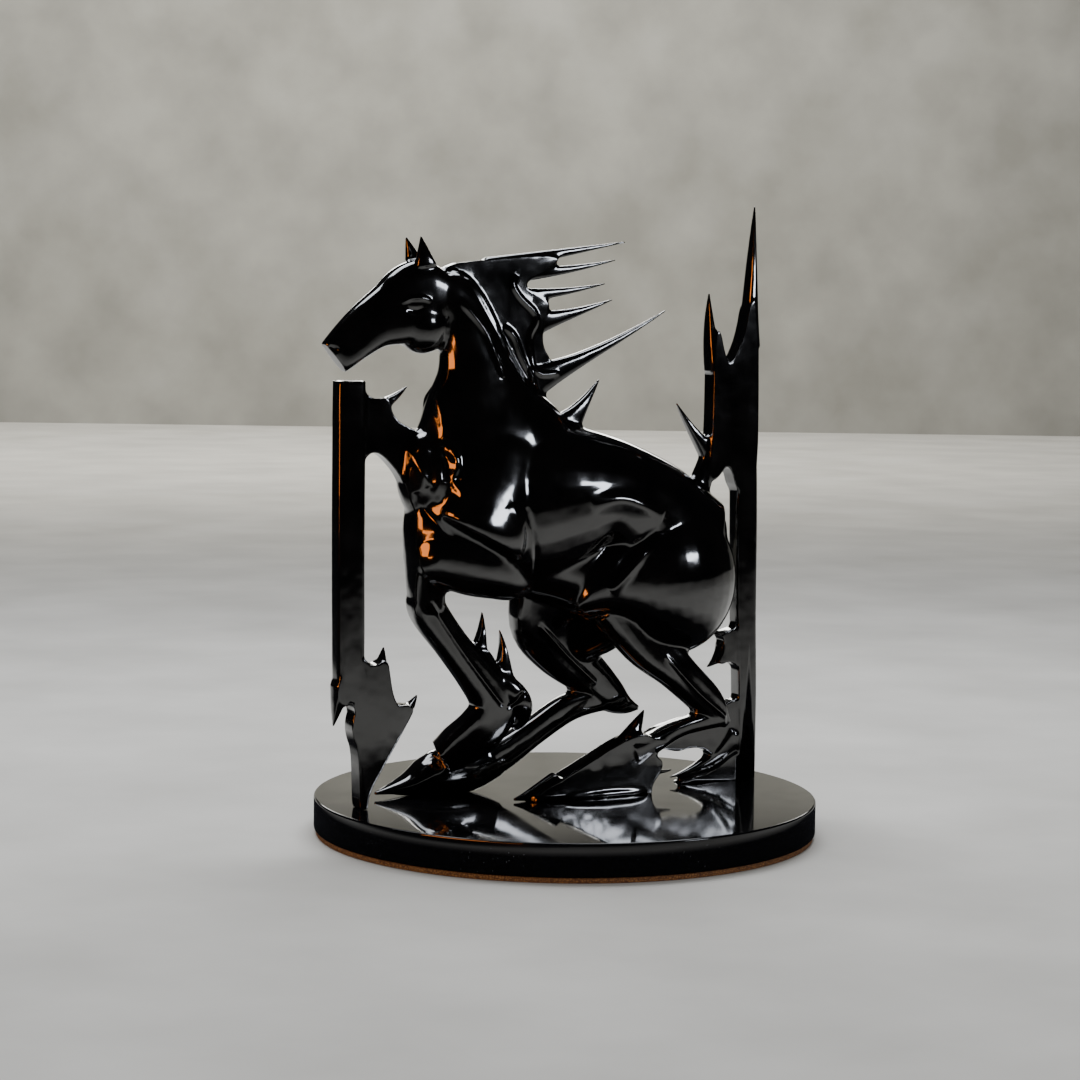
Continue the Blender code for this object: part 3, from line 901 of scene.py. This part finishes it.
@dataclass
class Posts:
    """The two upright slabs that carry the horse at its chest and croup, and their thorns."""

    wax: Wax
    half: float = 7.0

    def front(self) -> None:
        """Models the post in front of the horse, its leaf-shaped foot and the bridge to the chest."""
        half = self.half
        self.wax.loft([
            (-163, 289.4, 0, 7.5, half - 1.6),
            (-163, 287.2, 0, 9.3, half - 0.5),
            (-163, 281, 0, 10, half),
            (-163, 180, 0, 10, half),
            (-162.5, 120, 0, 10, half),
            (-162.3, 88, 0, 9.5, half),
            (-161, 78, 0, 8, half - 1.5),
        ], 6.0)
        self.wax.plate([
            (-172, 92), (-173, 74), (-166.5, 70), (-162, 75), (-160.5, 72), (-160, 66), (-162, 59),
            (-161.5, 50), (-157.5, 40), (-156.5, 18), (-156, -2), (-150, -2), (-149.5, 10), (-135, 34),
            (-120.5, 58), (-116, 66), (-120, 70), (-128, 68.5), (-132, 77), (-134, 89), (-136, 102),
            (-147, 96), (-154, 104),
        ], 0, half)
        self.wax.plate([
            (-156, 285), (-150, 278), (-145, 277), (-137, 278), (-135, 273), (-133, 266), (-127, 260),
            (-112, 254), (-112, 212), (-123, 215), (-130, 229), (-146, 244), (-156, 234),
        ], 0, half - 1.5)
        self.wax.thorn((-168, 84), (-173, 57), 5.8, thickness=half, flare=0.0)
        self.wax.thorn((-139.5, 88), (-136.5, 109), 6.5, thickness=half)
        self.wax.thorn((-127, 60), (-111.5, 75), 8, thickness=half, bend=-0.08)
        self.wax.thorn((-144, 271), (-121, 285), 6.5, thickness=half - 1.5, bend=-0.05)

    def rear(self) -> None:
        """Models the post behind the horse, its fork, its branch to the croup and its foot."""
        half = self.half
        self.wax.loft([
            (148, -2, 0, 7.5, half),
            (148, 60, 0, 7.5, half),
            (146, 120, 0, 8, half),
            (145, 180, 0, 8.5, half),
            (144, 225, 0, 8.5, half),
        ], 6.0)
        self.wax.plate([
            (152.5, 210), (151.5, 300), (149.5, 345), (143.5, 345), (139, 320), (132, 304), (127, 299),
            (123, 308), (119, 325), (114.5, 320), (114.5, 252), (113, 236), (113, 216), (120, 219),
            (128.5, 231), (136.5, 205),
        ], 0, half)
        self.wax.thorn((146.5, 312), (149.3, 411.5), 7, bend=0.005, flare=0.25)
        self.wax.thorn((118.5, 296), (113, 349.5), 6, bend=0.03, flare=0.15)
        self.wax.thorn((114, 238), (88, 272), 7, thickness=half - 2, bend=0.03)
        self.wax.loft([
            (119, 242, 0, 7, half - 1),
            (113, 227, 0, 7, half - 1),
            (105, 206, 0, 9, half),
        ], 2.6)
        self.wax.plate([
            (144, 112), (124, 107), (128, 102), (128, 95), (123, 87), (126, 84), (132, 87), (138, 83),
            (144, 80),
        ], 0, half - 1)
        self.wax.thorn((131, 96), (117, 82.5), 6, bend=0.08, thickness=half - 1)
        self.wax.plate([
            (144, 62), (124, 52), (92, 46), (70, 40), (66, 34), (74, 28), (90, 23), (99, 25),
            (108, 25.5), (117, 22), (122, 17), (144, 17),
        ], 0, half - 2)
        self.wax.thorn((140, 31), (88, 4.5), 10, bend=0.08, thickness=half - 1, flare=0.45)
        self.wax.plate([
            (153.5, -2), (153.5, 24), (138, 20), (122, 8), (94, 1.5), (94, -2),
        ], 0, half - 1)

    def model(self) -> None:
        """Models both posts."""
        self.front()
        self.rear()


@dataclass(frozen=True)
class Line:
    """A carved line, in pose units, cut on both sides of the horse at least_y and farther out.

    It is a groove where its depth is above zero and a raised ridge where it is below. With a shelf, it is
    the lip of a form that stands proud: the wax sinks on the right of the line's run and comes back to the
    surface over the shelf's length.
    """

    places: tuple[Place, ...]
    depth: float
    width: float
    least_y: float = 0.0
    ends: float = 8.0
    shelf: float = 0.0


@dataclass
class Carving:
    """The lines that the carver cuts into the wax, in pose units.

    A line has its full depth where the surface faces across the pose's plane at side_facing or more, and
    fades in over fade_y from its least y.
    """

    steps: int = 6
    side_facing: float = 0.5
    fade_y: float = 3.0
    lines: list[Line] = field(default_factory=lambda: [
        Line(((2, 203), (23, 207.5), (40, 204), (60, 195)), -2.4, 6.0, least_y=15, ends=20),
        Line(((22, 143), (33, 156), (47, 171), (60, 181)), -2.2, 3.2, least_y=15, ends=20),
        Line(((18, 148), (28, 161), (42, 176), (56, 187)), 1.6, 3.0, least_y=15, ends=20),
        Line(((-46, 204), (-40.7, 187), (-37, 172), (-34, 152)), 1.4, 1.7, least_y=12, ends=14),
        Line(((-60, 207), (-52, 192), (-49, 168)), -1.0, 5.0, least_y=12),
        Line(((-120, 214.5), (-111, 198), (-98, 182)), 1.6, 2.0, least_y=5),
        Line(((-81, 360), (-69.3, 343), (-57.5, 322.4), (-50, 306)), -2.0, 2.0, least_y=5),
        Line(((-74.2, 358.5), (-61.6, 339.6), (-55, 328)), -1.6, 1.8, least_y=5),
        Line(((-88, 343), (-71, 324), (-63, 307), (-57, 291)), -1.8, 2.2, least_y=5),
        Line(((-104, 309), (-103, 285), (-101, 262), (-102, 250)), -1.8, 2.6, least_y=5),
        Line(((-110, 300), (-110, 278), (-110, 262)), 1.2, 2.2, least_y=3),
        Line(((-120, 247), (-121, 238), (-112.5, 218)), -1.6, 2.4, least_y=5),
        Line(((-97, 246), (-94, 233), (-97, 223), (-92, 212)), -1.8, 2.4, least_y=8),
        Line(((-104, 246), (-101, 234), (-103, 222)), 1.8, 2.6, least_y=8),
        Line(((-42, 361), (-43.8, 353.5), (-38, 345), (-28, 336), (-26, 329), (-30.7, 319), (-29.5, 306)),
             -1.5, 1.6),
        Line(((-51, 326), (-43, 319), (-37, 305), (-29.3, 291), (-27.2, 278)), -1.5, 1.8),
        Line(((-29.5, 308), (-28, 299), (-22, 293), (-8, 294)), -1.2, 1.6),
        Line(((-131, 341), (-123.6, 344.2), (-115, 344.3), (-109, 342)), -1.2, 1.5, least_y=5),
        Line(((-127, 337.5), (-120, 336), (-114, 338)), 1.2, 1.6, least_y=5),
        Line(((-180, 312.5), (-174, 308.5)), 1.4, 1.6, least_y=2, ends=3),
        Line(((-105, 139.5), (-79, 103), (-48, 64)), -1.1, 1.4, least_y=2),
        Line(((-44.4, 62.2), (-38, 67), (-31.5, 74)), 1.6, 1.3, least_y=2, ends=4),
        Line(((-100, 32), (-88, 29.5), (-77, 26), (-66, 31), (-54, 37.5)), 2.0, 1.4, ends=4, shelf=8),
        Line(((-12.3, 117), (10.6, 95.7), (38.5, 71.8)), -1.0, 1.6, least_y=8),
        Line(((66, 97), (92, 70), (117, 50)), -1.0, 1.5, least_y=8),
        ])

    def measured(self, line: Line, here: np.ndarray) -> tuple[np.ndarray, np.ndarray, np.ndarray]:
        """Measures points against a line.

        Args:
            line: The line.
            here: The points, as x and z.

        Returns:
            Each point's distance from the line, the same with a minus on the left of its run, and how far
            the nearest place of the line is from the line's nearer end.
        """
        corners = self.corners(line)
        whole = sum(float(np.linalg.norm(there - back)) for back, there in zip(corners, corners[1:]))
        nearest = np.full(len(here), np.inf)
        beyond = np.zeros(len(here))
        run_in = np.zeros(len(here))
        travelled = 0.0
        for start, end in zip(corners, corners[1:]):
            along = end - start
            length = float(np.linalg.norm(along))
            share = np.clip(((here - start) @ along) / length ** 2, 0.0, 1.0)
            gap = np.linalg.norm(here - start - share[:, None] * along, axis=1)
            closer = gap < nearest
            nearest[closer] = gap[closer]
            turned = along[0] * (here[:, 1] - start[1]) - along[1] * (here[:, 0] - start[0])
            beyond[closer] = np.where(turned > 0, -gap, gap)[closer]
            run_in[closer] = travelled + share[closer] * length
            travelled += length
        return nearest, beyond, np.minimum(run_in, whole - run_in)

    def corners(self, line: Line) -> list[np.ndarray]:
        """Fills in a line's smooth run between its places."""
        return [np.array(corner, float) for corner in smooth_run(list(line.places), self.steps)]

    def cut(self, places: np.ndarray, normals: np.ndarray) -> np.ndarray:
        """Works out how far each point moves outwards.

        Args:
            places: The points, in pose units.
            normals: Their normals.

        Returns:
            Each point's move along its normal, in pose units.
        """
        moves = np.zeros(len(places))
        flat = places[:, [0, 2]]
        facing = np.clip(np.abs(normals[:, 1]) / self.side_facing, 0.0, 1.0)
        for line in self.lines:
            corners = self.corners(line)
            margin = 3 * line.width + line.shelf
            inside = (flat > np.min(corners, axis=0) - margin) & (flat < np.max(corners, axis=0) + margin)
            chosen = np.nonzero(inside.all(axis=1))[0]
            nearest, beyond, from_end = self.measured(line, flat[chosen])
            fade = np.clip(from_end / line.ends, 0.0, 1.0) ** 0.5
            profile = np.exp(-((nearest / line.width) ** 2))
            if line.shelf:
                sunk = np.clip(beyond / line.width, 0.0, 1.0)
                back = np.clip((beyond - line.width) / line.shelf, 0.0, 1.0)
                profile = sunk * sunk * (3 - 2 * sunk) * (1 - back * back * (3 - 2 * back))
            held = np.clip((np.abs(places[chosen, 1]) - line.least_y) / self.fade_y, 0.0, 1.0)
            moves[chosen] -= line.depth * profile * fade * held * facing[chosen]
        return moves


@dataclass
class Casting:
    """The bronze: the wax fused into one body, smoothed, carved, cut level and given its patina.

    Lengths are in pose units. Wax counts as flesh from flesh_from, by how much nearer it is to a soft mass
    than to a crisp one, and fully so after flesh_fade more.
    """

    finish: BlackBronze
    name: str = "cast_horse_and_posts"
    grain: float = 0.8
    all_passes: int = 4
    flesh_passes: int = 40
    flesh_from: float = 0.5
    flesh_fade: float = 4.0
    flesh_levels: int = 20
    most_triangles: int = 190000
    offset: float = 6.0
    foot: float = 26.6

    def evaluated(
        self, mesh: bpy.types.Mesh, modifiers: list[tuple[str, dict[str, Any]]],
        weights: np.ndarray | None = None,
    ) -> bpy.types.Mesh:
        """Runs modifiers on a mesh.

        Args:
            mesh: The mesh, which is used up.
            modifiers: Each modifier's type and settings.
            weights: A weight for each vertex, kept as the group named flesh.

        Returns:
            The mesh with its modifiers applied.
        """
        item = placed("working", mesh)
        if weights is not None:
            group = item.vertex_groups.new(name="flesh")
            levels = np.round(weights * self.flesh_levels).astype(int)
            for level in range(1, self.flesh_levels + 1):
                group.add(np.nonzero(levels == level)[0].tolist(), level / self.flesh_levels, "REPLACE")
        for kind, settings in modifiers:
            modifier = item.modifiers.new(kind.lower(), kind)
            for key, value in settings.items():
                setattr(modifier, key, value)
        bpy.context.view_layer.update()
        graph = bpy.context.evaluated_depsgraph_get()
        made = bpy.data.meshes.new_from_object(item.evaluated_get(graph))
        bpy.data.objects.remove(item, do_unlink=True)
        bpy.data.meshes.remove(mesh)
        return made

    def joined(self, meshes: list[bpy.types.Mesh]) -> bmesh.types.BMesh:
        """Puts several meshes into one bmesh.

        Args:
            meshes: The meshes.

        Returns:
            The bmesh.
        """
        bm = bmesh.new()
        for mesh in meshes:
            bm.from_mesh(mesh)
        return bm

    def flesh_weights(self, mesh: bpy.types.Mesh, wax: Wax) -> np.ndarray:
        """Weighs each vertex by whether soft or crisp wax lies nearer.

        Args:
            mesh: The fused mesh.
            wax: The masses.

        Returns:
            One for flesh, zero for plates and thorns, and a short fade between.
        """
        trees = {}
        for touch in Touch:
            bm = self.joined(wax.meshes[touch])
            trees[touch] = BVHTree.FromBMesh(bm)
            bm.free()
        weights = np.zeros(len(mesh.vertices))
        for index, vert in enumerate(mesh.vertices):
            to_soft = trees[Touch.SOFT].find_nearest(vert.co)[3]
            to_crisp = trees[Touch.CRISP].find_nearest(vert.co)[3]
            weights[index] = (to_crisp - to_soft - self.flesh_from) / self.flesh_fade
        return np.clip(weights, 0.0, 1.0)

    def drop_crumbs(self, bm: bmesh.types.BMesh) -> None:
        """Deletes all but the largest shell.

        Args:
            bm: The fused body.
        """
        seen: set[bmesh.types.BMVert] = set()
        shells = []
        for vert in bm.verts:
            if vert in seen:
                continue
            shell = [vert]
            seen.add(vert)
            for current in shell:
                for edge in current.link_edges:
                    other = edge.other_vert(current)
                    if other not in seen:
                        seen.add(other)
                        shell.append(other)
            shells.append(shell)
        shells.sort(key=len)
        spare = [vert for shell in shells[:-1] for vert in shell]
        bmesh.ops.delete(bm, geom=spare, context="VERTS")

    def cut_level(self, bm: bmesh.types.BMesh) -> None:
        """Cuts the feet flat where they stand on the base, and closes the cut.

        Args:
            bm: The body.
        """
        cut = bmesh.ops.bisect_plane(
            bm, geom=bm.verts[:] + bm.edges[:] + bm.faces[:], dist=1e-4,
            plane_co=(0, 0, 0), plane_no=(0, 0, 1), clear_inner=True,
        )["geom_cut"]
        edges = [item for item in cut if isinstance(item, bmesh.types.BMEdge)]
        bmesh.ops.holes_fill(bm, edges=edges, sides=0)
        bmesh.ops.triangulate(bm, faces=[face for face in bm.faces if len(face.verts) > 4])

    def carved(self, mesh: bpy.types.Mesh, carving: Carving) -> bpy.types.Mesh:
        """Cuts the carver's lines.

        Args:
            mesh: The smoothed mesh.
            carving: The lines.

        Returns:
            The same mesh.
        """
        count = len(mesh.vertices)
        places = np.empty(count * 3, np.float32)
        mesh.vertices.foreach_get("co", places)
        normals = np.empty(count * 3, np.float32)
        mesh.vertex_normals.foreach_get("vector", normals)
        places = places.reshape(-1, 3).astype(float)
        normals = normals.reshape(-1, 3).astype(float)
        places += normals * carving.cut(places, normals)[:, None]
        mesh.vertices.foreach_set("co", places.astype(np.float32).ravel())
        mesh.update()
        return mesh

    def build(self, wax: Wax, carving: Carving) -> bpy.types.Object:
        """Casts the figure.

        Args:
            wax: The masses.
            carving: The lines to cut.

        Returns:
            The finished piece at the origin.
        """
        whole = mesh_of(self.joined(wax.meshes[Touch.SOFT] + wax.meshes[Touch.CRISP]), "whole")
        fused = self.evaluated(whole, [
            ("REMESH", {"mode": "VOXEL", "voxel_size": self.grain}),
            ("SMOOTH", {"factor": 0.5, "iterations": 2}),
        ])
        LOG.info("fused: %d faces", len(fused.polygons))
        weights = self.flesh_weights(fused, wax)
        smoothed = self.evaluated(fused, [
            ("DISPLACE", {"strength": -wax.swell, "mid_level": 0.0}),
            ("SMOOTH", {"factor": 0.5, "iterations": self.all_passes}),
            ("SMOOTH", {"factor": 0.5, "iterations": self.flesh_passes, "vertex_group": "flesh"}),
        ], weights)
        carved = self.carved(smoothed, carving)
        carved = self.evaluated(carved, [("SMOOTH", {"factor": 0.5, "iterations": 2})])
        bm = self.joined([carved])
        self.drop_crumbs(bm)
        self.cut_level(bm)
        bm.to_mesh(carved)
        bm.free()
        share = self.most_triangles / (2 * len(carved.polygons))
        thinned = self.evaluated(carved, [("DECIMATE", {"ratio": min(1.0, share)})])
        bm = self.joined([thinned])
        bmesh.ops.translate(bm, verts=bm.verts[:], vec=(0, self.offset, self.foot))
        bmesh.ops.scale(bm, verts=bm.verts[:], vec=(UNIT, UNIT, UNIT))
        mesh = mesh_of(bm, self.name)
        mesh.materials.append(self.finish.material())
        mesh.shade_smooth()
        piece = placed(self.name, mesh)
        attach(piece, "root")
        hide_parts("horse_figure")
        LOG.info("%s: %d faces", self.name, len(mesh.polygons))
        return piece


@dataclass
class Base:
    """The round base and the thin pad under it."""

    stone: BlackStone
    cork: Cork
    segments: int = 256
    bevel_segments: int = 4
    rim_round: float = 0.0012
    pad_round: float = 0.0004

    def disc(self, node: str, edge_round: float) -> bpy.types.Mesh:
        """Turns a plate to a CAD node's size, with flat faces and smooth rims.

        Args:
            node: The node that gives the size.
            edge_round: How far its rims are rounded, in metres.

        Returns:
            The mesh.
        """
        low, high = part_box(node)
        middle = (low + high) / 2
        bm = bmesh.new()
        bmesh.ops.create_circle(
            bm, cap_ends=True, radius=(high.x - low.x) / 2, segments=self.segments,
            matrix=Matrix.Translation((middle.x, middle.y, low.z)),
        )
        made = bmesh.ops.extrude_face_region(bm, geom=bm.faces[:])["geom"]
        fresh = [item for item in made if isinstance(item, bmesh.types.BMVert)]
        bmesh.ops.translate(bm, verts=fresh, vec=(0, 0, high.z - low.z))
        rims = [edge for edge in bm.edges if abs(edge.verts[0].co.z - edge.verts[1].co.z) < 1e-6]
        bmesh.ops.bevel(
            bm, geom=rims, offset=edge_round, affect="EDGES", segments=self.bevel_segments, profile=0.5,
            material=-1,
        )
        bmesh.ops.recalc_face_normals(bm, faces=bm.faces[:])
        for edge in bm.edges:
            edge.smooth = all(len(face.verts) == 4 for face in edge.link_faces)
        mesh = mesh_of(bm, node)
        mesh.shade_smooth()
        return mesh

    def piece(
        self, name: str, node: str, edge_round: float, material: bpy.types.Material, slot: str,
    ) -> bpy.types.Object:
        """Makes one disc of the base a piece.

        Args:
            name: The piece's name.
            node: The CAD node that it stands for.
            edge_round: How far its rims are rounded, in metres.
            material: Its finish.
            slot: The record's material slot. Not used.

        Returns:
            The piece.
        """
        mesh = self.disc(node, edge_round)
        mesh.materials.append(material)
        piece = placed(name, mesh)
        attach(piece, "root")
        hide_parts(node)
        LOG.info("%s: %d faces", name, len(mesh.polygons))
        return piece

    def build(self) -> list[bpy.types.Object]:
        """Makes the base and its pad.

        Returns:
            The two pieces.
        """
        return [
            self.piece("round_base", "base_disc", self.rim_round, self.stone.material(), "black_stone"),
            self.piece("cork_pad", "base_pad", self.pad_round, self.cork.material(), "brown_cork"),
        ]


@dataclass(frozen=True)
class SoftBox:
    """A soft studio light, in metres and watts."""

    name: str
    place: tuple[float, float, float]
    aim: tuple[float, float, float]
    size: tuple[float, float]
    watts: float
    colour: str = "#ffffff"
    only_mirrored: bool = False


@dataclass
class Studio:
    """The floor, wall, lights and camera, which aren't part of the work.

    The top box lights everything. The window box gives the cool spots on shoulder and haunch, the two warm
    boxes the orange glints at throat and hooves, the rim box the bright edges of mane and thorns, and the
    wall box lights the wall.
    """

    paint: StudioPaint
    wall_paint: StudioPaint
    eye: tuple[float, float, float] = (-0.896, -1.7155, 0.3821)
    azimuth_deg: float = 27.0
    pitch_deg: float = 5.246
    roll_deg: float = 0.75
    focal_px: float = 2800.0
    sensor_mm: float = 36.0
    wall_away: float = 5.4
    floor_side: float = 14.0
    boxes: list[SoftBox] = field(default_factory=lambda: [
        SoftBox("top_box", (0.15, 0.55, 1.5), (0, 0, 0.2), (1.6, 0.9), 32.0, "#f4f8ff"),
        SoftBox("window_box", (1.1, -1.75, 0.60), (0, 0, 0.22), (0.40, 0.22), 6.5, "#eef4ff", True),
        SoftBox("warm_box", (-1.6, -0.4, 0.50), (0, 0, 0.25), (0.9, 0.55), 20.0, "#ff8c3c", True),
        SoftBox("low_warm_box", (-1.5, -1.15, 0.16), (0.05, 0, 0.15), (0.5, 0.12), 3.0, "#ff8c3c", True),
        SoftBox("rim_box", (1.3, 2.6, 1.12), (0, 0, 0.35), (1.9, 0.42), 20.0, "#fdfcf6", True),
        SoftBox("wall_box", (1.2, 3.2, 2.4), (1.6, 5.2, 0.6), (2.5, 1.0), 110.0, "#fbfaf4"),
        ])

    def camera(self) -> bpy.types.Object:
        """Places the camera at the photograph's viewing angle.

        Returns:
            The camera.
        """
        turn = math.radians(self.azimuth_deg)
        pitch = math.radians(self.pitch_deg)
        ahead = Vector((
            math.sin(turn) * math.cos(pitch), math.cos(turn) * math.cos(pitch), -math.sin(pitch),
        ))
        right = Vector((math.cos(turn), -math.sin(turn), 0))
        up = right.cross(ahead)
        roll = math.radians(self.roll_deg)
        rolled_right = right * math.cos(roll) + up * math.sin(roll)
        rolled_up = up * math.cos(roll) - right * math.sin(roll)
        frame = Matrix.Identity(4)
        frame.col[0][:3] = rolled_right
        frame.col[1][:3] = rolled_up
        frame.col[2][:3] = -ahead
        frame.col[3][:3] = Vector(self.eye)
        lens = bpy.data.cameras.new("photo_camera")
        lens.sensor_width = self.sensor_mm
        lens.lens = self.focal_px / PHOTO_SIDE_PX * self.sensor_mm
        item = placed("photo_camera", lens)
        item.matrix_world = frame
        bpy.context.scene.camera = item
        return item

    def sheet(self, name: str, side: float, frame: Matrix, material: bpy.types.Material) -> None:
        """Adds one painted plane of the studio.

        Args:
            name: Its name.
            side: Its side, in metres.
            frame: Where it stands.
            material: Its paint.
        """
        bm = bmesh.new()
        bmesh.ops.create_grid(bm, x_segments=1, y_segments=1, size=side / 2, matrix=frame)
        mesh = mesh_of(bm, name)
        mesh.materials.append(material)
        placed(name, mesh)

    def light(self, box: SoftBox) -> None:
        """Hangs one soft light.

        Args:
            box: The light.
        """
        lamp = bpy.data.lights.new(box.name, "AREA")
        lamp.shape = "RECTANGLE"
        lamp.size, lamp.size_y = box.size
        lamp.energy = box.watts
        lamp.color = linear(box.colour)[:3]
        item = placed(box.name, lamp)
        item.location = box.place
        aim = Vector(box.aim) - Vector(box.place)
        item.rotation_euler = aim.to_track_quat("-Z", "Y").to_euler()
        item.visible_camera = False
        item.visible_diffuse = not box.only_mirrored

    def world(self) -> None:
        """Fills the room with even light, and leaves it dark where only the polish mirrors it."""
        world = bpy.data.worlds.new("studio")
        bpy.context.scene.world = world
        world.use_nodes = True
        tree = world.node_tree
        tree.nodes.clear()
        path = add_node(tree, "ShaderNodeLightPath")
        room = add_node(tree, "ShaderNodeBackground", inputs={
            "Color": linear("#e9ebee"), "Strength": 0.55,
        })
        dark = add_node(tree, "ShaderNodeBackground", inputs={
            "Color": linear("#3a3c42"), "Strength": 0.12,
        })
        mix = add_node(tree, "ShaderNodeMixShader", inputs={
            "Fac": path.outputs["Is Glossy Ray"], 1: room.outputs["Background"],
            2: dark.outputs["Background"],
        })
        add_node(tree, "ShaderNodeOutputWorld", inputs={"Surface": mix.outputs["Shader"]})

    def build(self) -> None:
        """Sets up the studio."""
        self.camera()
        self.sheet("studio_floor", self.floor_side, Matrix.Identity(4), self.paint.material())
        turn = math.radians(self.azimuth_deg)
        wall = (
            Matrix.Rotation(-turn, 4, "Z") @ Matrix.Translation((0, self.wall_away, 0))
            @ Matrix.Rotation(math.radians(90), 4, "X")
        )
        self.sheet("studio_wall", self.floor_side, wall, self.wall_paint.material())
        for box in self.boxes:
            self.light(box)
        self.world()


def main() -> None:
    """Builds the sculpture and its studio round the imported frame."""
    logging.basicConfig(level=logging.INFO, format="%(name)s: %(message)s")
    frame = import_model()
    wall_paint = StudioPaint(name="grey_wall_paint", light="#a6a49d", shade="#8f8d86")
    Studio(StudioPaint(), wall_paint).build()
    Base(BlackStone(), Cork()).build()
    wax = Wax()
    Horse(wax).model()
    Posts(wax).model()
    Casting(BlackBronze()).build(wax, Carving())


if __name__ == "__main__":
    main()
